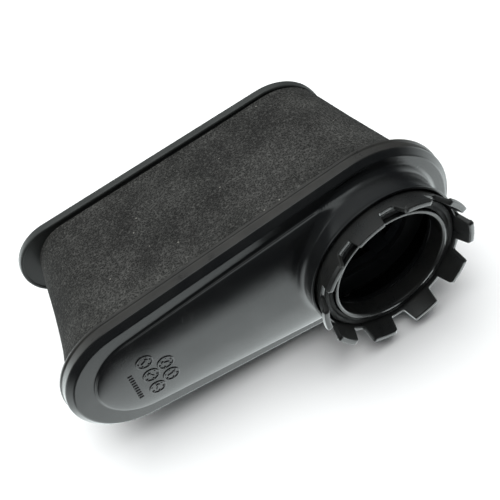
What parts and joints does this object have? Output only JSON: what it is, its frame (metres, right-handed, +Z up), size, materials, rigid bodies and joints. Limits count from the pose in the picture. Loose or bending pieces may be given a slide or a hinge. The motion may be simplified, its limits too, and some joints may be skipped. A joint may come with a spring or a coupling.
{
  "type": "cartridge air filter",
  "caption": "Egg-shaped cartridge air filter with a ramped duct, a castellated snap neck, a foam prefilter sleeve and a smaller closed end.",
  "frame": {"origin": "under the middle of the bounding box, at the level the filter lies on", "axes": "+X along the oval towards the neck, -Y out of the neck and +Y out of the closed end, +Z up with the filter lying on its long side"},
  "size_m": [0.2012, 0.12, 0.0941],
  "materials": {
    "black_plastic": "satin moulded",
    "clip_plastic": "satin moulded",
    "black_rubber": "matt",
    "potting_resin": "cast polyurethane",
    "filter_paper": "resin-treated paper",
    "cage_plastic": "moulded",
    "grey_foam": "open-cell foam"
  },
  "bodies": {
    "cartridge": {"duct_cover": "black_plastic", "clip_ring": "clip_plastic", "neck_seal": "black_rubber", "open_end_potting": "potting_resin", "pleated_element": "filter_paper", "support_core": "cage_plastic", "closed_end_potting": "potting_resin", "closed_end_cap": "black_plastic"},
    "prefilter": {"foam_prefilter": "grey_foam"}
  },
  "joints": [
    {"name": "prefilter_slide_off", "type": "slide", "parent": "cartridge", "child": "prefilter", "axis": [0, 1, 0], "range_m": [0, 0.1], "deforming": ["foam_prefilter"]}
  ]
}
